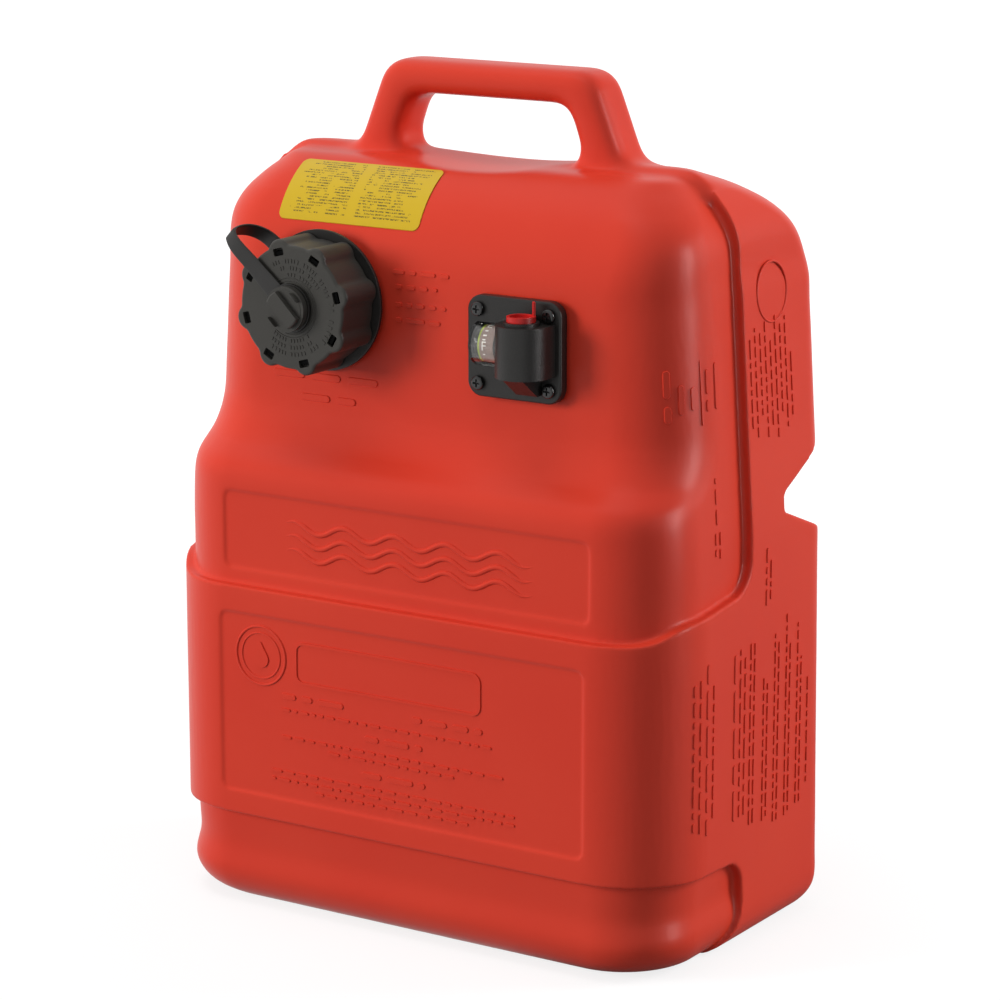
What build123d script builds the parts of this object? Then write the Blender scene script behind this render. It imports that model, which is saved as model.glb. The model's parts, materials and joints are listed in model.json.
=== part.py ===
"""Portable outboard fuel tank: a blow-moulded upright can with a loop handle, filler cap and gauge."""
import os
from math import asin, atan2, cos, degrees, radians, sin, sqrt

from build123d import *

os.makedirs("parts", exist_ok=True)

# Driving dimensions, in millimetres. X runs across the tank, Y from its front to its back, Z up.
# The origin is on the floor, midway between the two sides and between the front and the back.
WIDTH = 360.0
DEPTH = 204.0
BODY_TOP = 461.0
WALL = 3.6
STEP = 6.0
PARTING_Y = 11.0
FRONT_CORNER = 53.0
BACK_CORNER = 28.0
BACK_CORNER_LOW = 20.0
FOOT_RADIUS = 22.0
FOOT_SPREAD = 2.0

# The front, from below: a base, a middle tier, an upper tier and a set-back face above a shoulder.
FACE_Y = -68.0
TIER_Y = -DEPTH / 2 + STEP
CURVE_LOW = 264.0
CURVE_HIGH = 315.0
CURVE_SHARE = 0.33
DRAFT_START = 250.0
DRAFT = 3.7

# Shallow panels on the two front tiers: low edge, high edge and the face that each is sunk in.
PANEL_WIDTH = 256.0
PANEL_DEPTH = 1.2
PANELS = [(211.6, 258.8, TIER_Y), (73.6, 185.8, TIER_Y - STEP)]

# Flat pads on the back, above and below the strap groove, which the tank lies on: low and high edges.
PAD_WIDTH = 300.0
PAD_HEIGHT = 1.0
PADS = [(36.0, 216.0), (312.0, 384.0)]

# Label beside the filler cap, on a plane that leans back by its angle, and how far down it lies there.
LABEL_X = -60.0
LABEL_LENGTH = 100.0
LABEL_REACH = 43.0
LABEL_ANGLE = 52.0
LABEL_DROP = 2.0
LABEL_THICKNESS = 0.35
LABEL_GAP = 0.02

# Loop handle over the parting line, its grip opening, and the hollow under the grip for the fingers.
HANDLE_TOP = 511.5
HANDLE_HALF = 72.5
HANDLE_LEG = (93.0, 460.0)
HANDLE_TOE = (135.0, 452.0)
HANDLE_SINK = 438.0
HANDLE_DEPTH = 36.0
HANDLE_ROUND = 10.0
GRIP_TOP = 491.0
GRIP_HALF = 54.0
GRIP_BULGE = (63.0, 466.0)
GRIP_FLOOR = 450.0
DIP_RADIUS = 300.0
DIP_FLOOR = 452.0

# Filler neck and cap: their axis points forward, along -Y.
CAP_X = -70.5
CAP_Z = 375.3
CAP_FACE = -104.0
CAP_LENGTH = 30.0
CAP_LOBES = 8
CAP_VALLEY = 36.5
CAP_LOBE = 40.5
LOBE_RADIUS = 7.5
CAP_CAVITY = 34.2
CAP_TOP = 3.0
WINDOW_RADIUS = 33.2
LOBE_START = 15.2
NECK_END = -97.0
NECK_BORE = 25.5
NECK_ROOT = 29.5
SEAT_RADIUS = 39.0
SEAT_SINK = 6.0
THREAD_DEPTH = 1.6
THREAD_PITCH = 6.0
THREAD_START = NECK_END + 4
VENT_HOLE = 4.2
SEAL_POCKET = 7.0
SEAL_DEPTH = 1.5
LINER_TOP = CAP_FACE + CAP_TOP + 0.1
LINER_RADIUS = CAP_CAVITY - 0.3
LINER_BORE = 31.9
GASKET_GAP = 0.05
KNOB_RADIUS = 13.5

# Tether: a ring under the vent knob, a collar on the neck and a strap between them at an angle.
TETHER_ANGLE = 138.0
RING_RADIUS = 14.5
RING_BACK = CAP_FACE - 0.3
RING_THICKNESS = 1.9
COLLAR_RADIUS = 42.0
COLLAR_BACK = FACE_Y - 3.2
COLLAR_THICKNESS = 2.2
STRAP_WIDTH = 10.0
STRAP_THICKNESS = 1.6
STRAP_LOOP = 59.0

# Gauge flange: a plate held by four screws, with a window over a drum and a hose elbow beside it.
PLATE_X = 65.0
PLATE_Z = 360.0
PLATE_FRONT = -76.0
PLATE_BACK = -70.0
SCREW_SPACING_X = 47.5
SCREW_SPACING_Z = 43.0
SCREW_SHANK = 2.1
BOSS_RADIUS = 6.5
BOSS_DEPTH = 14.0
WALL_HOLE = 24.5
DRUM_X = 51.0
DRUM_Z = 361.5
HINGE_Y = -73.0
DRUM_RADIUS = 10.4
DRUM_LENGTH = 12.0
PIN_RADIUS = 1.0
ELBOW_X = 77.0
ELBOW_RADIUS = 16.0
PORT_Y = -87.0
PORT_TOP = 379.0
PORT_BORE = 5.75
TUBE_RADIUS = 4.75
SWING = 75.0
ARM_REACH = 34.0
ARM_RADIUS = 1.25
FLOAT_Z = 250.0
PLATE_WIDTH = 63.0
PLATE_HEIGHT = 59.0
ELBOW_Y = -85.0
ELBOW_LOW = 347.0
ELBOW_HIGH = 377.0
WINDOW_HALF = 12.0
EAR_LEFT = 42.1
EAR_RIGHT = 59.4
SOCKET_END = -60.0
TUBE_START = PLATE_FRONT + 4
TUBE_BORE = 3.2
SEAT_WIDTH = PLATE_WIDTH + 2
SEAT_HEIGHT = PLATE_HEIGHT + 2
HEAD_RADIUS = 4.2
HEAD_HEIGHT = 2.8
LENS_RADIUS = 13.0
LENS_WALL = 1.4
LENS_LEFT = 40.5
FLOAT_RADIUS = 17.0
FLOAT_HEIGHT = 40.0
TUBE_END = 76.0
STRAINER_END = 92.0
PLUG_RADIUS = 8.4

# The top: the front rises in a quarter of an ellipse from SHOULDER_Z, and the back falls in another
# from CROWN_Y. The inner layer's top is lower than the outer one's by TOP_STEP.
SHOULDER_DEPTH = 60.0
SHOULDER_Z = 391.0
SHOULDER_DROP = 2.0
TOP_STEP = 4.0
CROWN_Y = -20.0
CROWN_HEIGHT = 72.0

# The outer layer's shoulder, seen from the front: half width and height of each point.
SHOULDER_LINE = [
    (169.3, 402),
    (168.7, 412),
    (167.0, 424),
    (164.6, 430),
    (161.0, 436),
    (157.0, 441),
    (152.5, 446),
    (148.4, 450),
    (143.8, 454),
    (139.5, 457),
    (134.0, 459),
]

# Strap groove across the back, from the side: its floor, its two lips and the rounding of its edges.
GROOVE_Y = 40.0
GROOVE_FLOOR = (257.0, 267.5)
GROOVE_LIPS = (233.0, 297.0)
GROOVE_ROUNDS = [30, 7, 3, 18]
GROOVE_SPARE = 0.3


def front_line(z, inset):
    """Y of the front at height z; the outer layer has no inset, the inner layer is set back by STEP."""
    lift = SHOULDER_Z - SHOULDER_DROP * inset / STEP
    top = BODY_TOP - TOP_STEP * inset / STEP
    depth = SHOULDER_DEPTH + STEP - inset
    face = FACE_Y - STEP + inset
    tier = TIER_Y - STEP + inset
    if z > lift:
        return face + depth * (1 - sqrt(1 - ((z - lift) / (top - lift)) ** 2))
    if z >= CURVE_HIGH:
        return face
    if z <= CURVE_LOW:
        return tier
    span = CURVE_HIGH - CURVE_LOW
    drop = face - tier
    turn = 2 * atan2(drop, span)
    low = CURVE_SHARE * span / sin(turn)
    high = (1 - CURVE_SHARE) * span / sin(turn)
    along = z - CURVE_LOW
    if along < low * sin(turn):
        return tier + low - sqrt(low**2 - along**2)
    return face - high + sqrt(high**2 - (span - along) ** 2)


def back_line(z):
    """Y of the back at height z, without the flat pads that the tank lies on."""
    reach = DEPTH / 2 - PAD_HEIGHT - CROWN_Y
    rise = max(z - BODY_TOP + CROWN_HEIGHT, 0) / CROWN_HEIGHT
    return CROWN_Y + reach * sqrt(1 - rise**2)


def side_line(z):
    """Half the width at height z below the shoulder."""
    return WIDTH / 2 - max(z - DRAFT_START, 0) * sin(radians(DRAFT))


def stations(inset):
    """Level outlines of one layer: height, half width, front, back and how far the foot pulls it in."""
    result = []
    foot = FOOT_SPREAD * inset / STEP
    for angle in (0, 12, 25, 40, 55, 72, 90):
        z = FOOT_RADIUS * (1 - cos(radians(angle)))
        pull = FOOT_RADIUS * (1 - sin(radians(angle)))
        result.append([z, side_line(z) - inset + foot - pull, front_line(z, inset) - foot + pull,
                       back_line(z) - inset - pull, pull])
    heights = [34, 48, 70, 130, 190, 225, 245, 256, CURVE_LOW, 270, 276, 281, 286, 292, 298, 304, 310,
               CURVE_HIGH, 322, 335, 360, 380, 391]
    for z in heights:
        result.append([z, side_line(z) - inset, front_line(z, inset), back_line(z) - inset, 0])
    for half, z in SHOULDER_LINE:
        level = z - TOP_STEP * inset / STEP
        result.append([level, half - 0.85 * inset, front_line(level, inset), back_line(z) - inset, 0])
    return result


def layer(inset, wall):
    """One layer as a solid: lofted through its level outlines, drawn in by the wall."""
    with BuildPart() as body:
        for z, half, front, back, pull in stations(inset):
            squeeze = 1 - 2 * wall / BODY_TOP
            level = wall + z * squeeze
            crown = max(0.0, (z - SHOULDER_Z) / (BODY_TOP - SHOULDER_Z))
            below = max(0.0, 1 - z / DRAFT_START)
            back_corner = BACK_CORNER + 6 * crown - (BACK_CORNER - BACK_CORNER_LOW) * below
            front_radius = max(FRONT_CORNER - inset - wall - 20 * crown - 0.3 * pull, 6)
            back_radius = max(back_corner - wall - 0.3 * pull, 6)
            right = half - wall
            near = front + wall
            far = back - wall
            largest = 0.47 * (far - near)
            front_radius = min(front_radius, largest)
            back_radius = min(back_radius, largest)
            with BuildSketch(Plane.XY.offset(level)):
                with BuildLine():
                    Line((right - back_radius, far), (back_radius - right, far))
                    CenterArc((back_radius - right, far - back_radius), back_radius, 90, 90)
                    Line((-right, far - back_radius), (-right, near + front_radius))
                    CenterArc((front_radius - right, near + front_radius), front_radius, 180, 90)
                    Line((front_radius - right, near), (right - front_radius, near))
                    CenterArc((right - front_radius, near + front_radius), front_radius, -90, 90)
                    Line((right, near + front_radius), (right, far - back_radius))
                    CenterArc((right - back_radius, far - back_radius), back_radius, 0, 90)
                make_face()
        loft()
    return body.part


def outer_region(margin):
    """The part of the side view that the outer layer covers, drawn in by a margin, as a wide block."""
    with BuildPart() as region:
        with BuildSketch(Plane.YZ):
            with BuildLine():
                edge = FilletPolyline(
                    (-130, 202), (-88, 202), (-70, 211), (0, 219), (0, 490), (140, 490), (140, -12), (-38, -12),
                    (-5, 20), (-8, 57), (-130, 60),
                    radius=[30, 40, 20, 1, 1, 1, 1, 30, 16],
                )
                Line(edge @ 1, edge @ 0)
            make_face()
            if margin:
                offset(amount=-margin, kind=Kind.INTERSECTION)
        extrude(amount=WIDTH, both=True)
    return region.part


def strap_groove(margin):
    """The strap groove that crosses the back, grown by a margin."""
    floor_low, floor_high = GROOVE_FLOOR
    lip_low, lip_high = GROOVE_LIPS
    back = DEPTH / 2 + GROOVE_SPARE
    clear = DEPTH
    with BuildPart() as groove:
        with BuildSketch(Plane.YZ):
            with BuildLine():
                edge = FilletPolyline(
                    (back, lip_high + 50), (back, lip_high), (GROOVE_Y, floor_high), (GROOVE_Y, floor_low),
                    (back, lip_low), (back, lip_low - 50), (clear, lip_low - 50), (clear, lip_high + 50),
                    radius=[*GROOVE_ROUNDS, 1, 1],
                )
                Line(edge @ 1, edge @ 0)
            make_face()
            if margin:
                offset(amount=margin)
        extrude(amount=WIDTH, both=True)
    return groove.part


def can(wall):
    """The can without its handle: the inner layer under the part of the outer layer that shows."""
    with BuildPart() as raised:
        add(layer(0, wall))
        add(outer_region(wall), mode=Mode.INTERSECT)
    with BuildPart() as body:
        add(layer(STEP, wall))
        add(raised.part)
        add(strap_groove(wall), mode=Mode.SUBTRACT)
        with BuildSketch(Plane.XZ):
            with Locations((0, DIP_FLOOR + DIP_RADIUS)):
                Circle(DIP_RADIUS + wall)
        extrude(amount=DEPTH, both=True, mode=Mode.SUBTRACT)
    return body.part


def front_plane(x, z, y):
    """Plane facing forward, centred on a point of the front."""
    return Plane(origin=(x, y, z), x_dir=(1, 0, 0), z_dir=(0, -1, 0))


def neck_plane(y):
    """Plane across the filler neck at depth y, facing forward."""
    return front_plane(CAP_X, CAP_Z, y)


def hinge_plane(x):
    """Plane across the float's hinge line, facing right; its own x runs to the back and its y up."""
    return Plane(origin=(x, HINGE_Y, DRUM_Z), x_dir=(0, 1, 0), z_dir=(1, 0, 0))


def rod(plane, radius, length, bore=0.0):
    """A round bar or tube that stands on a plane."""
    with BuildPart() as bar:
        with BuildSketch(plane):
            Circle(radius)
            if bore:
                Circle(bore, mode=Mode.SUBTRACT)
        extrude(amount=length)
    return bar.part


def thread_ridge(start, turns, radius, depth):
    """One helical ridge about the neck's axis; a negative depth points it inwards."""
    centre = Vector(CAP_X, start, CAP_Z)
    path = Edge.make_helix(THREAD_PITCH, turns * THREAD_PITCH, radius, center=centre, normal=(0, 1, 0))
    outward = (path @ 0) - centre
    root = -0.3 if depth > 0 else 0.3
    with BuildPart() as ridge:
        with BuildSketch(Plane(origin=path @ 0, x_dir=outward, z_dir=path % 0)):
            with BuildLine():
                Polyline((root, -1.5), (depth, -0.7), (depth, 0.7), (root, 1.5), close=True)
            make_face()
        sweep(path=path, is_frenet=True)
    return ridge.part


# Tank: one blow moulding in high-density polyethylene, whose wall is the can less the can drawn in.
# Its front and back halves, its handle and its filler neck are nodes of their own, cut where they meet.
with BuildPart() as moulding:
    add(can(0))
    for low, high, face in PANELS:
        with BuildSketch(front_plane(0, (low + high) / 2, face - 1)):
            RectangleRounded(PANEL_WIDTH, high - low, 5)
        extrude(amount=-PANEL_DEPTH - 1, mode=Mode.SUBTRACT)
    for low, high in PADS:
        with BuildSketch(front_plane(0, (low + high) / 2, DEPTH / 2)):
            RectangleRounded(PAD_WIDTH, high - low, 12)
        extrude(amount=2 * PAD_HEIGHT)
    add(can(WALL), mode=Mode.SUBTRACT)
    with BuildSketch(neck_plane(FACE_Y + 3 * WALL)):
        Circle(NECK_BORE)
    extrude(amount=60, mode=Mode.SUBTRACT)
    with BuildSketch(front_plane(PLATE_X, PLATE_Z, FACE_Y + BOSS_DEPTH)):
        with GridLocations(SCREW_SPACING_X, SCREW_SPACING_Z, 2, 2):
            Circle(BOSS_RADIUS)
    extrude(amount=BOSS_DEPTH - WALL / 2)
    with BuildSketch(front_plane(PLATE_X, PLATE_Z, FACE_Y + BOSS_DEPTH - 2)):
        with GridLocations(SCREW_SPACING_X, SCREW_SPACING_Z, 2, 2):
            Circle(SCREW_SHANK)
    extrude(amount=20, mode=Mode.SUBTRACT)
    with BuildSketch(front_plane(PLATE_X, PLATE_Z, FACE_Y + 20)):
        Circle(WALL_HOLE)
    extrude(amount=40, mode=Mode.SUBTRACT)
    with BuildSketch(front_plane(PLATE_X, PLATE_Z, FACE_Y)):
        RectangleRounded(SEAT_WIDTH, SEAT_HEIGHT, 10)
    extrude(amount=1, mode=Mode.SUBTRACT)

with BuildPart() as tank_front:
    add(moulding.part)
    split(bisect_by=Plane.XZ.offset(-PARTING_Y), keep=Keep.TOP)
tank_front.part.label = "tank_front"
export_step(tank_front.part, "parts/tank_front.step")

with BuildPart() as tank_back:
    add(moulding.part)
    split(bisect_by=Plane.XZ.offset(-PARTING_Y), keep=Keep.BOTTOM)
tank_back.part.label = "tank_back"
export_step(tank_back.part, "parts/tank_back.step")

# Handle: drawn from the front, given its thickness from front to back, and cut off at the can.
with BuildPart() as tank_handle:
    with BuildSketch(Plane.XZ.offset(-PARTING_Y - HANDLE_DEPTH / 2)):
        with BuildLine():
            outline = FilletPolyline(
                (0, HANDLE_TOP), (HANDLE_HALF, HANDLE_TOP), HANDLE_LEG, HANDLE_TOE, (HANDLE_TOE[0], HANDLE_SINK),
                radius=[18, 14, 2],
            )
            Line(outline @ 1, (0, HANDLE_SINK))
            mirror(about=Plane.YZ)
        make_face()
        with BuildLine():
            FilletPolyline(
                (0, GRIP_TOP), (GRIP_HALF, GRIP_TOP), GRIP_BULGE, (GRIP_HALF + 2, GRIP_FLOOR), (0, GRIP_FLOOR),
                radius=[13, 8, 6],
            )
            mirror(about=Plane.YZ)
        make_face(mode=Mode.SUBTRACT)
    extrude(amount=HANDLE_DEPTH)
    rims = tank_handle.faces().filter_by(Axis.Y).edges()
    rims = [edge for edge in rims if abs((edge @ 0.5).X) < HANDLE_TOE[0] - 2 and (edge @ 0.5).Z > HANDLE_SINK + 1]
    fillet(rims, HANDLE_ROUND)
    add(can(0), mode=Mode.SUBTRACT)
tank_handle.part.label = "tank_handle"
export_step(tank_handle.part, "parts/tank_handle.step")

# Filler neck: a low seat and a threaded tube, cut off at the can, with one bore.
with BuildPart() as filler_neck:
    with BuildSketch(neck_plane(FACE_Y + SEAT_SINK)):
        Circle(SEAT_RADIUS)
    extrude(amount=SEAT_SINK + 3, taper=12)
    with BuildSketch(neck_plane(FACE_Y + SEAT_SINK)):
        Circle(NECK_ROOT)
    extrude(amount=FACE_Y + SEAT_SINK - NECK_END)
    add(can(0), mode=Mode.SUBTRACT)
    with BuildSketch(neck_plane(FACE_Y + SEAT_SINK)):
        Circle(NECK_BORE)
    extrude(amount=FACE_Y + SEAT_SINK - NECK_END, mode=Mode.SUBTRACT)
    add(thread_ridge(THREAD_START, 2.25, NECK_ROOT, THREAD_DEPTH))
filler_neck.part.label = "filler_neck"
export_step(filler_neck.part, "parts/filler_neck.step")

# Label: a printed film that follows the shoulder beside the filler cap.
label_out = Vector(0, -cos(radians(LABEL_ANGLE)), sin(radians(LABEL_ANGLE)))
label_down = Vector(0, -sin(radians(LABEL_ANGLE)), -cos(radians(LABEL_ANGLE)))
label_centre = Vector(LABEL_X, FACE_Y + SHOULDER_DEPTH, SHOULDER_Z - SHOULDER_DROP)
label_start = label_centre + label_out * 80 + label_down * LABEL_DROP
with BuildPart() as label:
    add(layer(STEP, -LABEL_THICKNESS))
    add(layer(STEP, -LABEL_GAP), mode=Mode.SUBTRACT)
    with BuildSketch(Plane(origin=label_start, x_dir=(1, 0, 0), z_dir=-label_out)):
        RectangleRounded(LABEL_LENGTH, LABEL_REACH, 4)
    extrude(amount=50, mode=Mode.INTERSECT)
label.part.label = "label"
export_step(label.part, "parts/label.step")

# Filler cap: a lobed moulding whose eight windows show the lugs of the liner inside it.
with BuildPart() as filler_cap:
    with BuildSketch(neck_plane(CAP_FACE + CAP_LENGTH)) as outline:
        Circle(CAP_VALLEY)
        with PolarLocations(CAP_LOBE - LOBE_RADIUS, CAP_LOBES, start_angle=LOBE_START):
            Circle(LOBE_RADIUS)
        fillet(outline.vertices(), 5)
    extrude(amount=CAP_LENGTH)
    fillet(filler_cap.faces().sort_by(Axis.Y)[0].outer_wire().edges(), 2)
    with BuildSketch(neck_plane(CAP_FACE + CAP_LENGTH)):
        Circle(CAP_CAVITY)
    extrude(amount=CAP_LENGTH - CAP_TOP, mode=Mode.SUBTRACT)
    with BuildSketch(neck_plane(CAP_FACE)):
        with PolarLocations(WINDOW_RADIUS, CAP_LOBES, start_angle=LOBE_START):
            RectangleRounded(4.5, 7, 0.8)
    extrude(amount=-CAP_TOP - 0.5, mode=Mode.SUBTRACT)
    with BuildSketch(neck_plane(CAP_FACE)):
        Circle(VENT_HOLE)
    extrude(amount=-10, mode=Mode.SUBTRACT)
    with BuildSketch(neck_plane(CAP_FACE)):
        Circle(SEAL_POCKET)
    extrude(amount=-SEAL_DEPTH, mode=Mode.SUBTRACT)
filler_cap.part.label = "filler_cap"
export_step(filler_cap.part, "parts/filler_cap.step")

# Cap liner: the threaded cup that turns with the cap, with a lug in each window.
with BuildPart() as cap_liner:
    with BuildSketch(neck_plane(LINER_TOP + 25)):
        Circle(LINER_RADIUS)
    extrude(amount=25)
    with BuildSketch(neck_plane(LINER_TOP + 25)):
        Circle(LINER_BORE)
    extrude(amount=25 - 2.5, mode=Mode.SUBTRACT)
    with BuildSketch(neck_plane(LINER_TOP + 1)):
        with PolarLocations(WINDOW_RADIUS - 0.85, CAP_LOBES, start_angle=LOBE_START):
            Rectangle(2.6, 6)
    extrude(amount=3)
    with BuildSketch(neck_plane(LINER_TOP)):
        Circle(VENT_HOLE + 0.3)
    extrude(amount=-5, mode=Mode.SUBTRACT)
    add(thread_ridge(THREAD_START + THREAD_PITCH / 2, 1.5, LINER_BORE, -THREAD_DEPTH + 0.1))
cap_liner.part.label = "cap_liner"
export_step(cap_liner.part, "parts/cap_liner.step")

# Cap gasket: a flat nitrile ring between the liner and the end of the neck.
gasket_height = NECK_END - (LINER_TOP + 2.5) - GASKET_GAP
cap_gasket = rod(neck_plane(NECK_END - GASKET_GAP), NECK_ROOT + 1.5, gasket_height, NECK_BORE + 0.5)
cap_gasket.label = "cap_gasket"
export_step(cap_gasket, "parts/cap_gasket.step")

# Vent seal: a rubber ring in the cap's pocket, lifted with the vent knob.
vent_seal = rod(neck_plane(CAP_FACE + SEAL_DEPTH), SEAL_POCKET - 0.4, SEAL_DEPTH, VENT_HOLE - 0.1)
vent_seal.label = "vent_seal"
export_step(vent_seal, "parts/vent_seal.step")

# Vent knob: a collar that presses the seal, a disc, a finger bar across it and a stem through the cap.
with BuildPart() as vent_knob:
    with BuildSketch(neck_plane(CAP_FACE + 9)):
        Circle(VENT_HOLE - 0.25)
    extrude(amount=12)
    with BuildSketch(neck_plane(CAP_FACE - 0.05)):
        Circle(SEAL_POCKET + 0.8)
    extrude(amount=2.6)
    with BuildSketch(neck_plane(CAP_FACE - 2.6)):
        Circle(KNOB_RADIUS)
    extrude(amount=4)
    with BuildSketch(neck_plane(CAP_FACE - 6)):
        Circle(KNOB_RADIUS - 2)
    extrude(amount=4)
    fillet(vent_knob.faces().sort_by(Axis.Y)[0].outer_wire().edges(), 1.2)
    with BuildSketch(neck_plane(CAP_FACE - 10)):
        with Locations((5.4, 5.4), (-5.4, -5.4)):
            Rectangle(22, 6.5, rotation=-45)
    extrude(amount=-3.2, mode=Mode.SUBTRACT)
vent_knob.part.label = "vent_knob"
export_step(vent_knob.part, "parts/vent_knob.step")

# Tether: a ring under the vent knob, a strap over the rim of the cap, and a collar behind it on the neck.
tether_ring = rod(neck_plane(RING_BACK), RING_RADIUS, RING_THICKNESS, SEAL_POCKET + 1.2)
tether_ring.label = "tether_ring"
export_step(tether_ring, "parts/tether_ring.step")

tether_collar = rod(neck_plane(COLLAR_BACK), COLLAR_RADIUS, COLLAR_THICKNESS, NECK_ROOT + THREAD_DEPTH + 0.8)
tether_collar.label = "tether_collar"
export_step(tether_collar, "parts/tether_collar.step")

along_strap = Vector(cos(radians(TETHER_ANGLE)), 0, sin(radians(TETHER_ANGLE)))
strap_front = -RING_BACK + RING_THICKNESS / 2
strap_back = -COLLAR_BACK + COLLAR_THICKNESS / 2
with BuildPart() as tether_strap:
    side = Plane(origin=(CAP_X, 0, CAP_Z), x_dir=along_strap, z_dir=along_strap.cross(Vector(0, -1, 0)))
    with BuildSketch(side):
        with BuildLine():
            FilletPolyline((RING_RADIUS - 1, strap_front), (STRAP_LOOP, strap_front + 1), (STRAP_LOOP, strap_back + 4),
                           (COLLAR_RADIUS - 1, strap_back), radius=[10, 9])
        trace(line_width=STRAP_THICKNESS)
    extrude(amount=STRAP_WIDTH / 2, both=True)
    add(rod(neck_plane(RING_BACK + 1), RING_RADIUS, 5), mode=Mode.SUBTRACT)
    add(rod(neck_plane(COLLAR_BACK + 1), COLLAR_RADIUS, 5), mode=Mode.SUBTRACT)
tether_strap.part.label = "tether_strap"
export_step(tether_strap.part, "parts/tether_strap.step")

# Gauge flange: one nylon moulding with the window, the hinge ears, the hose elbow and the tube socket.
with BuildPart() as gauge_flange:
    with BuildSketch(front_plane(PLATE_X, PLATE_Z, PLATE_BACK)):
        RectangleRounded(PLATE_WIDTH, PLATE_HEIGHT, 9)
    extrude(amount=PLATE_BACK - PLATE_FRONT)
    fillet(gauge_flange.faces().sort_by(Axis.Y)[0].outer_wire().edges(), 1.5)
    with BuildSketch(Plane.XY.offset(ELBOW_LOW)):
        with Locations((ELBOW_X, ELBOW_Y)):
            Circle(ELBOW_RADIUS)
        with Locations((ELBOW_X, (ELBOW_Y + PLATE_FRONT) / 2 + 1)):
            Rectangle(2 * ELBOW_RADIUS, PLATE_FRONT - ELBOW_Y + 2)
    extrude(amount=ELBOW_HIGH - ELBOW_LOW)
    with BuildSketch(hinge_plane(ELBOW_X)):
        with BuildLine():
            Polyline((-24, -12.5), (-24, -14.5), (-8, -26), (-1, -26), (-1, -12.5), close=True)
        make_face()
    extrude(amount=7, both=True)
    with BuildSketch(Plane.XY.offset(ELBOW_HIGH - 2)):
        with Locations((ELBOW_X, PORT_Y)):
            Circle(10.4)
    extrude(amount=PORT_TOP - ELBOW_HIGH + 2)
    for left, right in ((EAR_LEFT, DRUM_X - DRUM_LENGTH / 2 - 1), (DRUM_X + DRUM_LENGTH / 2 + 1, EAR_RIGHT)):
        with BuildSketch(hinge_plane(left)):
            Circle(3.5)
        extrude(amount=right - left)
    with BuildSketch(front_plane(DRUM_X, DRUM_Z, PLATE_FRONT - 1)):
        Rectangle(DRUM_LENGTH + 2, 2 * WINDOW_HALF)
    extrude(amount=-12, mode=Mode.SUBTRACT)
    with BuildSketch(front_plane(ELBOW_X, DRUM_Z, SOCKET_END)):
        Circle(9)
    extrude(amount=SOCKET_END - PLATE_BACK)
    with BuildSketch(front_plane(ELBOW_X, DRUM_Z, SOCKET_END)):
        Circle(TUBE_RADIUS)
    extrude(amount=SOCKET_END - TUBE_START, mode=Mode.SUBTRACT)
    with BuildSketch(front_plane(ELBOW_X, DRUM_Z, SOCKET_END)):
        Circle(TUBE_BORE)
    extrude(amount=SOCKET_END - PORT_Y, mode=Mode.SUBTRACT)
    with BuildSketch(Plane.XY.offset(PORT_TOP)):
        with Locations((ELBOW_X, PORT_Y)):
            Circle(PORT_BORE)
    extrude(amount=-22, mode=Mode.SUBTRACT)
    with BuildSketch(hinge_plane(EAR_LEFT)):
        Circle(PIN_RADIUS)
    extrude(amount=EAR_RIGHT - EAR_LEFT, mode=Mode.SUBTRACT)
    with BuildSketch(front_plane(PLATE_X, PLATE_Z, PLATE_BACK + 1)):
        with GridLocations(SCREW_SPACING_X, SCREW_SPACING_Z, 2, 2):
            Circle(SCREW_SHANK + 0.3)
    extrude(amount=8, mode=Mode.SUBTRACT)
gauge_flange.part.label = "gauge_flange"
export_step(gauge_flange.part, "parts/gauge_flange.step")

# Flange gasket: cut nitrile sheet between the flange and the tank.
with BuildPart() as flange_gasket:
    with BuildSketch(front_plane(PLATE_X, PLATE_Z, FACE_Y)):
        RectangleRounded(PLATE_WIDTH - 2, PLATE_HEIGHT - 2, 8)
        Circle(WALL_HOLE, mode=Mode.SUBTRACT)
        with GridLocations(SCREW_SPACING_X, SCREW_SPACING_Z, 2, 2):
            Circle(SCREW_SHANK + 0.3, mode=Mode.SUBTRACT)
    extrude(amount=FACE_Y - PLATE_BACK)
flange_gasket.part.label = "flange_gasket"
export_step(flange_gasket.part, "parts/flange_gasket.step")

# Flange screws: four pan heads with a cross recess, driven into the bosses inside the tank.
with BuildPart() as flange_screws:
    with BuildSketch(front_plane(PLATE_X, PLATE_Z, FACE_Y + 12)):
        with GridLocations(SCREW_SPACING_X, SCREW_SPACING_Z, 2, 2):
            Circle(SCREW_SHANK)
    extrude(amount=FACE_Y + 12 - PLATE_FRONT + 1)
    with BuildSketch(front_plane(PLATE_X, PLATE_Z, PLATE_FRONT)):
        with GridLocations(SCREW_SPACING_X, SCREW_SPACING_Z, 2, 2):
            Circle(HEAD_RADIUS)
    extrude(amount=HEAD_HEIGHT)
    fillet(flange_screws.edges().group_by(Axis.Y)[0], 1.6)
    with BuildSketch(front_plane(PLATE_X, PLATE_Z, PLATE_FRONT - HEAD_HEIGHT)):
        with GridLocations(SCREW_SPACING_X, SCREW_SPACING_Z, 2, 2):
            Rectangle(4.6, 1.0)
            Rectangle(1.0, 4.6)
    extrude(amount=-1.8, mode=Mode.SUBTRACT)
flange_screws.part.label = "flange_screws"
export_step(flange_screws.part, "parts/flange_screws.step")

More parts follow.
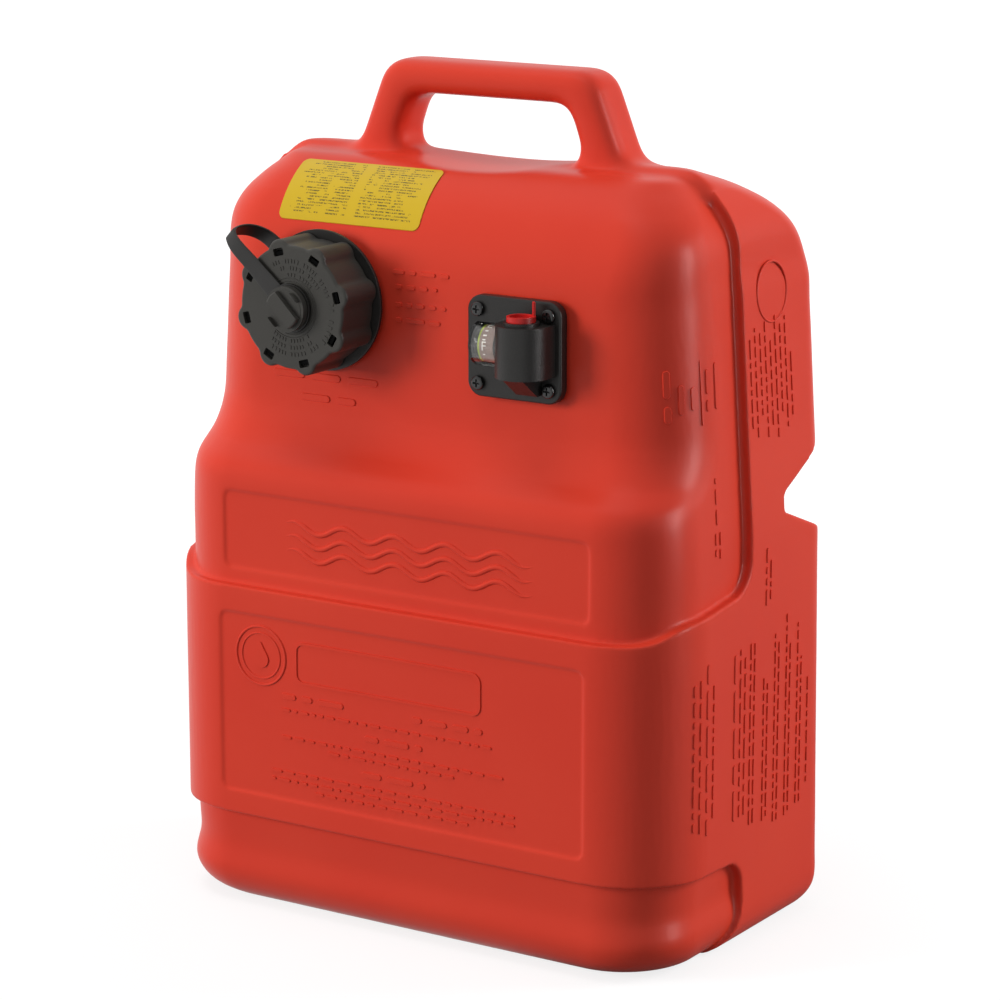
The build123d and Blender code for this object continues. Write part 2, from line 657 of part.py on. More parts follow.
# Gauge lens: a clear half round cover over the drum.
lens_end = ELBOW_X - ELBOW_RADIUS
lens_sink = degrees(asin((HINGE_Y - PLATE_FRONT) / LENS_RADIUS))
with BuildPart() as gauge_lens:
    with BuildSketch(hinge_plane(LENS_LEFT)):
        with BuildLine():
            arc = CenterArc((0, 0), LENS_RADIUS, 90 + lens_sink, 180 - 2 * lens_sink)
            Line(arc @ 1, arc @ 0)
        make_face()
    extrude(amount=lens_end - LENS_LEFT)
    with BuildSketch(hinge_plane(LENS_LEFT + LENS_WALL)):
        Circle(LENS_RADIUS - LENS_WALL)
    extrude(amount=lens_end - LENS_LEFT - 2 * LENS_WALL, mode=Mode.SUBTRACT)
gauge_lens.part.label = "gauge_lens"
export_step(gauge_lens.part, "parts/gauge_lens.step")

# Pivot pin: steel, pressed into the flange's two ears.
pivot_pin = rod(hinge_plane(EAR_LEFT), PIN_RADIUS, EAR_RIGHT - EAR_LEFT)
pivot_pin.label = "pivot_pin"
export_step(pivot_pin, "parts/pivot_pin.step")

# Gauge drum: turns on the pin and carries the float's arm in a socket.
arm_angle = SWING / 2
arm_way = Vector(0, cos(radians(arm_angle)), -sin(radians(arm_angle)))
hub = Vector(DRUM_X, HINGE_Y, DRUM_Z)
with BuildPart() as gauge_drum:
    add(rod(hinge_plane(DRUM_X - DRUM_LENGTH / 2), DRUM_RADIUS, DRUM_LENGTH))
    add(rod(Plane(origin=hub, z_dir=arm_way), 2.6, 18))
    add(rod(Plane(origin=hub + arm_way * 8, z_dir=arm_way), ARM_RADIUS, 12), mode=Mode.SUBTRACT)
    add(rod(hinge_plane(DRUM_X - DRUM_LENGTH / 2 - 1), PIN_RADIUS + 0.06, DRUM_LENGTH + 2), mode=Mode.SUBTRACT)
gauge_drum.part.label = "gauge_drum"
export_step(gauge_drum.part, "parts/gauge_drum.step")

# Dial strip: the printed band round the drum, open where the arm's socket stands out.
with BuildPart() as dial_strip:
    add(rod(hinge_plane(DRUM_X - DRUM_LENGTH / 2 + 1), DRUM_RADIUS + 0.3, DRUM_LENGTH - 2, DRUM_RADIUS + 0.02))
    add(rod(Plane(origin=hub, z_dir=arm_way), 3.4, 20), mode=Mode.SUBTRACT)
dial_strip.part.label = "dial_strip"
export_step(dial_strip.part, "parts/dial_strip.step")

# Float arm: steel wire from the drum's socket, bent down to the float.
elbow = hub + arm_way * ARM_REACH
float_low = FLOAT_Z - FLOAT_HEIGHT / 2
with BuildPart() as float_arm:
    with BuildLine() as wire:
        FilletPolyline(hub + arm_way * 8, elbow, (elbow.X, elbow.Y, float_low - 3), radius=6)
    with BuildSketch(Plane(origin=wire.line @ 0, z_dir=arm_way)):
        Circle(ARM_RADIUS)
    sweep(path=wire.line)
float_arm.part.label = "float_arm"
export_step(float_arm.part, "parts/float_arm.step")

# Float: closed-cell foam, held on the wire by a push-on clip.
float_plane = Plane(origin=(elbow.X, elbow.Y, float_low))
gauge_float = rod(float_plane, FLOAT_RADIUS, FLOAT_HEIGHT, ARM_RADIUS)
gauge_float.label = "gauge_float"
export_step(gauge_float, "parts/gauge_float.step")

float_clip = rod(float_plane.offset(-1.2), 4, 1.2, ARM_RADIUS)
float_clip.label = "float_clip"
export_step(float_clip, "parts/float_clip.step")

# Pickup tube: runs from the flange to the back of the tank, which is the floor when the tank lies in a boat.
pickup_tube = rod(front_plane(ELBOW_X, DRUM_Z, TUBE_END), TUBE_RADIUS, TUBE_END - TUBE_START, TUBE_BORE)
pickup_tube.label = "pickup_tube"
export_step(pickup_tube, "parts/pickup_tube.step")

# Pickup strainer: a slotted cage pushed over the end of the tube.
with BuildPart() as pickup_strainer:
    with BuildSketch(front_plane(ELBOW_X, DRUM_Z, STRAINER_END)):
        Circle(7)
    extrude(amount=26)
    with BuildSketch(front_plane(ELBOW_X, DRUM_Z, STRAINER_END - 1.6)):
        Circle(TUBE_RADIUS)
    extrude(amount=26, mode=Mode.SUBTRACT)
    with BuildSketch(front_plane(ELBOW_X, DRUM_Z, STRAINER_END - 3)):
        with PolarLocations(6, 6):
            Rectangle(4, 2)
    extrude(amount=10, mode=Mode.SUBTRACT)
pickup_strainer.part.label = "pickup_strainer"
export_step(pickup_strainer.part, "parts/pickup_strainer.step")

# Port plug: a soft cup-shaped shipping plug in the fuel port, with a pull tab.
port_axis = Plane(origin=(ELBOW_X, PORT_Y, PORT_TOP))
with BuildPart() as port_plug:
    with BuildSketch(port_axis.offset(-10)):
        Circle(PORT_BORE - 0.1)
    extrude(amount=10)
    with BuildSketch(port_axis):
        Circle(PLUG_RADIUS)
    extrude(amount=3.2)
    with BuildSketch(port_axis.offset(1.2)):
        Circle(PLUG_RADIUS - 1.8)
    extrude(amount=5, mode=Mode.SUBTRACT)
    with BuildSketch(port_axis.offset(1.5)):
        with Locations((5.2, 5.2)):
            Rectangle(3.4, 1.3, rotation=-45)
    extrude(amount=9.5)
    with BuildSketch(port_axis.offset(-10)):
        Circle(PORT_BORE - 1.5)
    extrude(amount=9, mode=Mode.SUBTRACT)
port_plug.part.label = "port_plug"
export_step(port_plug.part, "parts/port_plug.step")
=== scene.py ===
import json
from math import cos, hypot, pi, radians, sin
from random import Random

import bmesh
import bpy
from mathutils import Matrix, Vector

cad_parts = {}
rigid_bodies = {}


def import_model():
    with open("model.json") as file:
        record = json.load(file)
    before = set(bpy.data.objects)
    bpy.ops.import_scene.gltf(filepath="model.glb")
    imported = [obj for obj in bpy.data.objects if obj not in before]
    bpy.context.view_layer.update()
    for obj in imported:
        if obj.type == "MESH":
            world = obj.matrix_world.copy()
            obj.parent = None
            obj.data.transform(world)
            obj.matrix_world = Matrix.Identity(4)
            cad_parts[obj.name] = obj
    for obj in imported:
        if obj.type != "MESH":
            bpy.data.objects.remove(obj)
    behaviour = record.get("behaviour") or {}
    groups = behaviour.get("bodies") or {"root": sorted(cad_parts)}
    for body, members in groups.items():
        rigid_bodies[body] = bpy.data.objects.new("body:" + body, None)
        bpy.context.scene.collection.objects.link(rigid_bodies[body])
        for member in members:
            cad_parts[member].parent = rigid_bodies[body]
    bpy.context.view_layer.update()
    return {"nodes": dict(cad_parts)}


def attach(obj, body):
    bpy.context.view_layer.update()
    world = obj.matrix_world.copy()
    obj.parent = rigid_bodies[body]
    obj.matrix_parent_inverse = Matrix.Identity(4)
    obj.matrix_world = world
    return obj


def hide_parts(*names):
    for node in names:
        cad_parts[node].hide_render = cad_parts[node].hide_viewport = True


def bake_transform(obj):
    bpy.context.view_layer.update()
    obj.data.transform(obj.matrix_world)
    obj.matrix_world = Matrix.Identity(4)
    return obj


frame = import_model()

# Camera: a long lens on a level stand, a little above the tank and to its right.
# It looks past the front corner, so that the front, one side and a little of the top show.
CAMERA_AZIMUTH = radians(32.75)
CAMERA_ELEVATION = radians(13.07)
CAMERA_DISTANCE = 2.1555
CAMERA_AIM = Vector((0.0069, 0.0, 0.2502))
LENS_MM = 129.1

towards_camera = Vector((
    sin(CAMERA_AZIMUTH) * cos(CAMERA_ELEVATION),
    -cos(CAMERA_AZIMUTH) * cos(CAMERA_ELEVATION),
    sin(CAMERA_ELEVATION),
))
lens = bpy.data.cameras.new("camera")
lens.lens = LENS_MM
lens.sensor_width = 36.0
lens.clip_end = 20.0
camera = bpy.data.objects.new("camera", lens)
camera.location = CAMERA_AIM + towards_camera * CAMERA_DISTANCE
camera.rotation_euler = (pi / 2 - CAMERA_ELEVATION, 0.0, CAMERA_AZIMUTH)
bpy.context.collection.objects.link(camera)
bpy.context.scene.camera = camera
bpy.context.scene.view_settings.view_transform = "Standard"


def linear(hex_colour):
    """Linear colour with full alpha from an sRGB hex string."""
    channels = [int(hex_colour[place:place + 2], 16) / 255 for place in (1, 3, 5)]
    curved = [c / 12.92 if c <= 0.04045 else ((c + 0.055) / 1.055) ** 2.4 for c in channels]
    return (*curved, 1.0)


def add_node(tree, kind, settings, links):
    """One shader node; settings fill its options or sockets, and links join its sockets to outputs."""
    node = tree.nodes.new(kind)
    for key, value in settings.items():
        if isinstance(key, int) or key in node.inputs:
            node.inputs[key].default_value = value
        else:
            setattr(node, key, value)
    for key, output in links.items():
        tree.links.new(node.inputs[key], output)
    return node


# Studio: a white sweep under and behind the tank, four soft boxes and a plain world.
# The lens and clear plastic see white. Gloss sees white too, but for a black flag off to the right,
# which gives the tank its dark front corner. The lamps and a dimmer world light the object.
FLAG_TOWARDS = (0.93, 0.37, 0.0)
FLAG_EDGE = (0.15, 0.65)
FLAG_BLACK = 0.08
GLOSS_WHITE = 0.85


def studio_white(tree, direction):
    """White to the lens and through clear plastic; in gloss, a black flag off to the right darkens it."""
    path = add_node(tree, "ShaderNodeLightPath", {}, {})
    facing = add_node(tree, "ShaderNodeVectorMath", {
        "operation": "DOT_PRODUCT", 1: FLAG_TOWARDS}, {0: direction})
    flag = add_node(tree, "ShaderNodeMapRange", {
        "interpolation_type": "SMOOTHSTEP", "From Min": FLAG_EDGE[0], "From Max": FLAG_EDGE[1],
        "To Min": GLOSS_WHITE, "To Max": FLAG_BLACK}, {"Value": facing.outputs["Value"]})
    gloss = add_node(tree, "ShaderNodeMath", {"operation": "MULTIPLY"}, {
        0: path.outputs["Is Glossy Ray"], 1: flag.outputs[0]})
    straight = add_node(tree, "ShaderNodeMath", {"operation": "MAXIMUM"}, {
        0: path.outputs["Is Camera Ray"], 1: path.outputs["Is Transmission Ray"]})
    return add_node(tree, "ShaderNodeMath", {"operation": "MAXIMUM"}, {
        0: straight.outputs[0], 1: gloss.outputs[0]}).outputs[0]


FLOOR_SIZE = 30.0
FLOOR_DROP = 0.0005
GLOW_NEAR = 0.80
GLOW_FAR = 1.0
GLOW_REACH = (0.4, 1.7)
WORLD_LIGHT = 0.42
SOFT_BOXES = {
    "left_box": {"at": (-2.6, -2.6, 1.1), "size": (1.2, 1.5), "power": 104.0, "unseen": "gloss"},
    "right_box": {"at": (2.0, 1.7, 1.0), "size": (1.0, 1.6), "power": 64.0, "unseen": "gloss"},
    "top_box": {"at": (-0.3, -0.4, 2.5), "size": (1.6, 1.0), "power": 18.0, "unseen": "gloss"},
    "edge_strip": {"at": (2.55, 0.30, 0.9), "size": (0.35, 1.7), "power": 40.0, "unseen": "diffuse"},
}
bpy.ops.object.select_all(action="DESELECT")
bpy.ops.mesh.primitive_plane_add(size=FLOOR_SIZE, location=(0, 0, -FLOOR_DROP))
floor = bpy.context.object
floor.name = "floor"
sweep = bpy.data.materials.new("white_sweep")
sweep.use_nodes = True
tree = sweep.node_tree
tree.nodes.clear()
paper = add_node(tree, "ShaderNodeBsdfDiffuse", {"Color": linear("#868686")}, {})
place = add_node(tree, "ShaderNodeTexCoord", {}, {})
reach = add_node(tree, "ShaderNodeVectorMath", {"operation": "LENGTH"}, {0: place.outputs["Object"]})
fade = add_node(tree, "ShaderNodeMapRange", {
    "interpolation_type": "SMOOTHSTEP", "From Min": GLOW_REACH[0], "From Max": GLOW_REACH[1],
    "To Min": GLOW_NEAR, "To Max": GLOW_FAR}, {"Value": reach.outputs["Value"]})
bearing = add_node(tree, "ShaderNodeVectorMath", {"operation": "NORMALIZE"}, {0: place.outputs["Object"]})
level = add_node(tree, "ShaderNodeMath", {"operation": "MULTIPLY"}, {
    0: studio_white(tree, bearing.outputs[0]), 1: fade.outputs[0]})
glow = add_node(tree, "ShaderNodeEmission", {"Color": linear("#FFFFFF")}, {"Strength": level.outputs[0]})
both = add_node(tree, "ShaderNodeAddShader", {}, {0: paper.outputs[0], 1: glow.outputs[0]})
add_node(tree, "ShaderNodeOutputMaterial", {}, {"Surface": both.outputs[0]})
floor.data.materials.append(sweep)

world = bpy.data.worlds.new("studio")
world.use_nodes = True
bpy.context.scene.world = world
tree = world.node_tree
tree.nodes.clear()
place = add_node(tree, "ShaderNodeTexCoord", {}, {})
strength = add_node(tree, "ShaderNodeMapRange", {"To Min": WORLD_LIGHT, "To Max": 1.0}, {
    "Value": studio_white(tree, place.outputs["Generated"])})
backdrop = add_node(tree, "ShaderNodeBackground", {"Color": linear("#FFFFFF")}, {
    "Strength": strength.outputs[0]})
add_node(tree, "ShaderNodeOutputWorld", {}, {"Surface": backdrop.outputs[0]})

for name, box in SOFT_BOXES.items():
    lamp = bpy.data.lights.new(name, "AREA")
    lamp.shape = "RECTANGLE"
    lamp.size, lamp.size_y = box["size"]
    lamp.energy = box["power"]
    stand = bpy.data.objects.new(name, lamp)
    stand.location = box["at"]
    stand.visible_glossy = box["unseen"] != "gloss"
    stand.visible_diffuse = box["unseen"] != "diffuse"
    aim = CAMERA_AIM - stand.location
    stand.rotation_euler = aim.to_track_quat("-Z", "Y").to_euler()
    bpy.context.collection.objects.link(stand)


# Tank skin: one blow moulding in red high-density polyethylene, with the handle in the same skin.
# The parison bridges every corner of the mould, so the steps are soft and the gloss is satin.
TANK_VOXEL = 0.0011
TANK_TRIANGLES = 196000
TANK_SIDE = 0.1795
PARTING_Y = 0.011
WALL_FRONT = -0.0690
WALL_BACK = -0.050
NECK_AXIS = Vector((-0.0705, 0.0, 0.3753))
NECK_BORE = 0.0262
GAUGE_AXIS = Vector((0.0650, 0.0, 0.3600))
NECK_OPENING = 0.0270
GAUGE_SEAT = 0.042
GAUGE_OPENING = 0.0245
SOFTEN_ALL = 5
SOFTEN_CROWN = 60
CROWN_FOOT = 0.436
CROWN_HALF = 0.150


def merged_copy(node, name):
    """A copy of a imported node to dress, with its loose triangles joined."""
    bpy.ops.object.select_all(action="DESELECT")
    piece = bpy.data.objects.new(name, frame["nodes"][node].data.copy())
    piece.data.materials.clear()
    bpy.context.collection.objects.link(piece)
    bpy.context.view_layer.objects.active = piece
    piece.select_set(True)
    bpy.ops.object.mode_set(mode="EDIT")
    bpy.ops.mesh.select_all(action="SELECT")
    bpy.ops.mesh.remove_doubles(threshold=1e-6)
    bpy.ops.object.mode_set(mode="OBJECT")
    bpy.ops.mesh.customdata_custom_splitnormals_clear()
    return piece


def select_faces(piece, chosen):
    """Selects the faces whose centre and normal pass a test, and leaves the piece in edit mode."""
    bpy.ops.object.mode_set(mode="EDIT")
    bpy.ops.mesh.select_mode(type="FACE")
    bpy.ops.mesh.select_all(action="DESELECT")
    mesh = bmesh.from_edit_mesh(piece.data)
    for face in mesh.faces:
        face.select = chosen(face.calc_center_median(), face.normal)
    mesh.select_flush_mode()
    bmesh.update_edit_mesh(piece.data)


def soften(piece, chosen, turns):
    """Rounds off the chosen faces, as the cooling skin does where it bridges a corner of the mould."""
    select_faces(piece, chosen)
    bpy.ops.mesh.vertices_smooth(factor=0.5, repeat=turns)
    bpy.ops.object.mode_set(mode="OBJECT")


def from_axis(point, axis):
    """Distance of a point from an axis that runs front to back."""
    return hypot(point.x - axis.x, point.z - axis.z)


def cut_or_bore(centre, normal):
    """The parting cut between the halves, and the holes through the wall under the neck and the gauge."""
    if abs(centre.y - PARTING_Y) < 2e-5 and abs(normal.y) > 0.99:
        return True
    near = from_axis(centre, NECK_AXIS) < NECK_BORE or from_axis(centre, GAUGE_AXIS) < GAUGE_SEAT
    return near and abs(normal.y) < 0.5 and WALL_FRONT < centre.y < WALL_BACK


def closed_outside(node):
    """The outer face of a moulded half, without the inner face of its wall, and closed over its holes."""
    half = merged_copy(node, node + "_outside")
    select_faces(half, cut_or_bore)
    bpy.ops.mesh.delete(type="FACE")
    select_faces(half, lambda centre, normal: abs(centre.x) > TANK_SIDE)
    bpy.ops.mesh.select_linked(delimit=set())
    bpy.ops.mesh.select_all(action="INVERT")
    bpy.ops.mesh.delete(type="FACE")
    bpy.ops.mesh.select_all(action="SELECT")
    bpy.ops.mesh.fill_holes(sides=0)
    bpy.ops.object.mode_set(mode="OBJECT")
    return half


skins = [
    closed_outside("tank_front"),
    closed_outside("tank_back"),
    merged_copy("tank_handle", "handle_outside"),
]
bpy.ops.object.select_all(action="DESELECT")
for skin in skins:
    skin.select_set(True)
tank = skins[0]
bpy.context.view_layer.objects.active = tank
bpy.ops.object.join()
tank.name = "tank_skin"
tank.data.remesh_voxel_size = TANK_VOXEL
tank.data.remesh_voxel_adaptivity = 0.0
tank.data.use_remesh_preserve_attributes = False
bpy.ops.object.voxel_remesh()
soften(tank, lambda centre, normal: True, SOFTEN_ALL)
soften(tank, lambda centre, normal: centre.z > CROWN_FOOT and abs(centre.x) < CROWN_HALF, SOFTEN_CROWN)
thin = tank.modifiers.new("thin", "DECIMATE")
thin.ratio = TANK_TRIANGLES / (2 * len(tank.data.polygons))
bpy.ops.object.modifier_apply(modifier="thin")
for axis, radius in ((NECK_AXIS, NECK_OPENING), (GAUGE_AXIS, GAUGE_OPENING)):
    select_faces(tank, lambda centre, normal: (
        from_axis(centre, axis) < radius and centre.y < WALL_BACK and normal.y < -0.9))
    bpy.ops.mesh.delete(type="FACE")
    bpy.ops.object.mode_set(mode="OBJECT")
bpy.ops.object.shade_smooth()

# Pigmented polyethylene off a sand-blasted mould: a waxy satin with wide, soft highlights.
# The pigment leaves a faint cloud, and the mould a grain that is just too fine to see.
CLOUD_MM = 111.1
BLAST_MM = 0.909
moulded_red = bpy.data.materials.new("blow_moulded_polyethylene_red")
moulded_red.use_nodes = True
tree = moulded_red.node_tree
skin = tree.nodes["Principled BSDF"]
place = add_node(tree, "ShaderNodeTexCoord", {}, {})
cloud = add_node(tree, "ShaderNodeTexNoise", {"Scale": 1000 / CLOUD_MM, "Detail": 2.0}, {
    "Vector": place.outputs["Object"]})
tint = add_node(tree, "ShaderNodeMix", {"data_type": "RGBA", 6: linear("#CA3424"), 7: linear("#D23F2B")}, {
    0: cloud.outputs["Fac"]})
grain = add_node(tree, "ShaderNodeTexNoise", {"Scale": 1000 / BLAST_MM, "Detail": 2.0}, {
    "Vector": place.outputs["Object"]})
relief = add_node(tree, "ShaderNodeBump", {"Strength": 0.10, "Distance": 0.0002}, {
    "Height": grain.outputs["Fac"]})
tree.links.new(skin.inputs["Base Color"], tint.outputs[2])
tree.links.new(skin.inputs["Normal"], relief.outputs["Normal"])
skin.inputs["Roughness"].default_value = 0.36
skin.inputs["IOR"].default_value = 1.52
skin.inputs["Specular IOR Level"].default_value = 0.20


def settled(piece, material, body):
    """Gives a finished piece its material and the body that it rides on."""
    piece.data.materials.clear()
    piece.data.materials.append(material)
    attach(piece, body)
    return piece


settled(tank, moulded_red, "tank")
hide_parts("tank_front", "tank_back", "tank_handle")


# Filler neck: the threaded spout of the same moulding, on the upper front of the tank.
# The cap covers it, so that only its root shows, in the gap behind the cap.
def dressed(node, material, body, edge=0.0):
    """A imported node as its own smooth-shaded piece; an edge width eases its sharp edges."""
    piece = merged_copy(node, node + "_dressed")
    if edge:
        bpy.ops.object.mode_set(mode="EDIT")
        bpy.ops.mesh.select_all(action="SELECT")
        bpy.ops.mesh.dissolve_limited(angle_limit=radians(0.4))
        bpy.ops.object.mode_set(mode="OBJECT")
        ease = piece.modifiers.new("ease", "BEVEL")
        ease.width = edge
        ease.segments = 2
        ease.limit_method = "ANGLE"
        ease.angle_limit = radians(40)
        bpy.ops.object.modifier_apply(modifier="ease")
    bpy.ops.object.shade_smooth_by_angle(angle=radians(30))
    flats = piece.modifiers.new("flats", "WEIGHTED_NORMAL")
    flats.keep_sharp = True
    bpy.ops.object.modifier_apply(modifier="flats")
    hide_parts(node)
    return settled(piece, material, body)


dressed("filler_neck", moulded_red, "tank")


# Raised bars: rounded bars as long as words that the mould leaves on the skin, in lines. All are blank.
# They are of the same red skin, raised by less than a millimetre, and are laid along its curves.
# Lines on the side run up the tank, and one long thin bar there is its level mark.
MARK_HEIGHT = 0.0007
MARK_SINK = 0.0006
MARK_DEPTH = MARK_HEIGHT + MARK_SINK
MARK_MIDDLE = (MARK_HEIGHT - MARK_SINK) / 2
GUIDE_LIFT = 0.03
SIDE_X = 0.1740
SIDE_DRAFT = radians(3.7)
side_out = Vector((cos(SIDE_DRAFT), 0.0, sin(SIDE_DRAFT)))
side_up = Vector((-sin(SIDE_DRAFT), 0.0, cos(SIDE_DRAFT)))
bpy.ops.object.select_all(action="DESELECT")
bpy.ops.mesh.primitive_cylinder_add(vertices=14, radius=0.5, depth=1.0, rotation=(0, 0, pi / 14))
bpy.ops.object.transform_apply(location=False, rotation=True, scale=False)
button = bpy.context.object
select_faces(button, lambda centre, normal: normal.z > 0.9)
bpy.ops.transform.resize(value=(0.74, 0.74, 1.0))
bpy.ops.object.mode_set(mode="OBJECT")


def raised_bars(name, spot, along, up, bars):
    """One piece of many bars on the skin; each is a centre, a length and a height on a flat guide."""
    along, up = Vector(along), Vector(up)
    out = along.cross(up).normalized()
    plate = bmesh.new()
    for across, over, length, height in bars:
        above = Vector(spot) + along * across + up * over + out * GUIDE_LIFT
        centre, normal = tank.ray_cast(above, -out)[1:3]
        lie = (along - normal * along.dot(normal)).normalized()
        rise = normal.cross(lie)
        begin = len(plate.verts)
        plate.from_mesh(button.data)
        plate.verts.ensure_lookup_table()
        for vertex in plate.verts[begin:]:
            stretch = (length - height) / 2 * (1 if vertex.co.x > 0 else -1)
            vertex.co = (centre + lie * (vertex.co.x * height + stretch) + rise * (vertex.co.y * height)
                         + normal * (vertex.co.z * MARK_DEPTH + MARK_MIDDLE))
    mesh = bpy.data.meshes.new(name)
    plate.to_mesh(mesh)
    plate.free()
    piece = bpy.data.objects.new(name, mesh)
    bpy.context.collection.objects.link(piece)
    return settled(piece, moulded_red, "tank")


def blank_lines(draw, lines):
    """Bars for blank lines of print, each line from a begin to an end; the bars are as long as words."""
    bars = []
    for begin, end, over, height in lines:
        across = begin
        while across < end - height:
            length = min(height * draw.uniform(1.6, 5.0), end - across)
            if end - across - length < 1.5 * height:
                length = end - across
            bars.append((across + length / 2, over, length, height))
            across += length + 0.75 * height
    return bars


# Each line of bars: begin, end, place across the lines, and height of the bars.
draw = Random(7)
TIER_FACE = -0.1008
UPPER_FACE = -0.0680
lower_bars = blank_lines(draw, [
    (-0.084, -0.038, 0.1385, 0.0042), (0.010, 0.060, 0.1385, 0.0042), (-0.084, 0.066, 0.1300, 0.0021),
    (-0.024, 0.018, 0.1215, 0.0042), (-0.084, 0.074, 0.1130, 0.0021), (-0.050, 0.040, 0.1080, 0.0021),
    (-0.026, 0.020, 0.0990, 0.0042), (-0.092, 0.082, 0.0910, 0.0021), (-0.092, 0.082, 0.0860, 0.0021),
    (-0.060, 0.050, 0.0810, 0.0021),
])
raised_bars("lower_panel_bars", (0, TIER_FACE, 0), (1, 0, 0), (0, 0, 1), lower_bars)
face_bars = blank_lines(draw, [
    (-0.111, -0.034, 0.3280, 0.0052), (-0.091, -0.050, 0.3150, 0.0052), (-0.024, 0.016, 0.3960, 0.0030),
    (-0.022, 0.008, 0.3875, 0.0030), (-0.022, 0.014, 0.3770, 0.0030), (-0.022, 0.010, 0.3680, 0.0030),
])
raised_bars("face_bars", (0, UPPER_FACE, 0), (1, 0, 0), (0, 0, 1), face_bars)
SIDE_MIDDLE = 0.250
level_bars = blank_lines(draw, [
    (0.074, 0.105, 0.0550, 0.0050), (0.078, 0.096, 0.0487, 0.0044), (0.080, 0.094, 0.0421, 0.0040),
    (0.078, 0.103, 0.0321, 0.0036), (0.078, 0.106, 0.0245, 0.0044), (0.012, 0.040, 0.0300, 0.0030),
    (-0.006, 0.008, 0.0320, 0.0024), (-0.008, 0.008, 0.0270, 0.0024),
])
LEVEL_MARK = (0.0895, 0.0369, 0.0370, 0.0010)
level_bars.append(LEVEL_MARK)
raised_bars("level_bars", (SIDE_X, 0, SIDE_MIDDLE), side_up, (0, -1, 0), level_bars)
side_bars = blank_lines(draw, [
    (0.088, 0.176, 0.0620, 0.0028), (0.086, 0.178, 0.0565, 0.0028), (0.083, 0.186, 0.0495, 0.0040),
    (0.092, 0.172, 0.0430, 0.0022), (0.083, 0.184, 0.0180, 0.0040), (0.084, 0.186, 0.0115, 0.0028),
    (0.084, 0.180, 0.0060, 0.0028), (0.076, 0.190, -0.0005, 0.0022), (0.076, 0.186, -0.0050, 0.0022),
])
raised_bars("side_bars", (SIDE_X, 0, 0), (0, 0, 1), (0, -1, 0), side_bars)
back_bars = blank_lines(draw, [
    (0.074, 0.162, -0.0165, 0.0020), (0.076, 0.158, -0.0210, 0.0020), (0.070, 0.186, -0.0300, 0.0020),
    (0.070, 0.180, -0.0345, 0.0020), (0.070, 0.195, -0.0440, 0.0020), (0.072, 0.176, -0.0485, 0.0020),
    (0.074, 0.190, -0.0580, 0.0020), (0.074, 0.165, -0.0625, 0.0020), (0.084, 0.150, -0.0710, 0.0020),
    (0.205, 0.240, -0.0180, 0.0026), (0.208, 0.232, -0.0230, 0.0020),
    (0.312, 0.364, -0.0060, 0.0020), (0.306, 0.370, -0.0120, 0.0020), (0.318, 0.366, -0.0180, 0.0020),
    (0.304, 0.372, -0.0240, 0.0020), (0.310, 0.360, -0.0300, 0.0020), (0.302, 0.374, -0.0360, 0.0020),
    (0.316, 0.368, -0.0420, 0.0020), (0.306, 0.372, -0.0480, 0.0020), (0.312, 0.350, -0.0540, 0.0020),
])
raised_bars("side_back_bars", (SIDE_X, 0, 0), (0, 0, 1), (0, -1, 0), back_bars)
bpy.data.objects.remove(button)


# Frame and rings: raised lines of the same red skin round bare places, formed by grooves in the mould.
# The frame and a double ring are on the lower front, and a single ring is high on the side.
def ridge_frame(name, spot, width, height, corner, ridge):
    """A raised line round a rounded rectangle that faces forward."""
    bpy.ops.object.select_all(action="DESELECT")
    bpy.ops.mesh.primitive_plane_add(size=1.0)
    piece = bpy.context.object
    piece.name = name
    piece.scale = (width, height, 1)
    bpy.ops.object.transform_apply(location=False, rotation=False, scale=True)
    bpy.ops.object.mode_set(mode="EDIT")
    bpy.ops.mesh.select_all(action="SELECT")
    bpy.ops.mesh.bevel(offset=corner, segments=8, affect="VERTICES")
    bpy.ops.mesh.select_all(action="SELECT")
    bpy.ops.mesh.inset(thickness=ridge)
    bpy.ops.mesh.delete(type="FACE")
    bpy.ops.mesh.select_all(action="SELECT")
    bpy.ops.mesh.extrude_region_move(TRANSFORM_OT_translate={"value": (0, 0, MARK_DEPTH)})
    bpy.ops.mesh.select_all(action="SELECT")
    bpy.ops.mesh.normals_make_consistent(inside=False)
    bpy.ops.object.mode_set(mode="OBJECT")
    piece.data.transform(Matrix.Rotation(pi / 2, 4, "X"))
    piece.data.transform(Matrix.Translation(Vector(spot) + Vector((0, MARK_SINK, 0))))
    return settled(piece, moulded_red, "tank")


ridge_frame("blank_plate_frame", (-0.0075, TIER_FACE, 0.1605),
            width=0.132, height=0.026, corner=0.006, ridge=0.0016)


def ridge_ring(name, spot, axis, radius, ridge, material=moulded_red, body="tank"):
    """A raised ring on a face, half sunk in it."""
    bpy.ops.object.select_all(action="DESELECT")
    bpy.ops.mesh.primitive_torus_add(
        major_radius=radius, minor_radius=ridge, major_segments=64, minor_segments=10)
    piece = bpy.context.object
    piece.name = name
    piece.data.transform(Vector(axis).to_track_quat("Z", "Y").to_matrix().to_4x4())
    piece.data.transform(Matrix.Translation(spot))
    bpy.ops.object.shade_smooth()
    return settled(piece, material, body)


EMBLEM_X = -0.0985
EMBLEM_Z = 0.1610
emblem_spot = (EMBLEM_X, TIER_FACE, EMBLEM_Z)
ridge_ring("emblem_ring", emblem_spot, (0, -1, 0), radius=0.0180, ridge=0.0008)
ridge_ring("emblem_inner_ring", emblem_spot, (0, -1, 0), radius=0.0140, ridge=0.0006)
ring_spot = Vector((0.1800, 0.0340, SIDE_MIDDLE)) + side_up * 0.1380
ridge_ring("date_ring", ring_spot, side_out, radius=0.0175, ridge=0.0007)

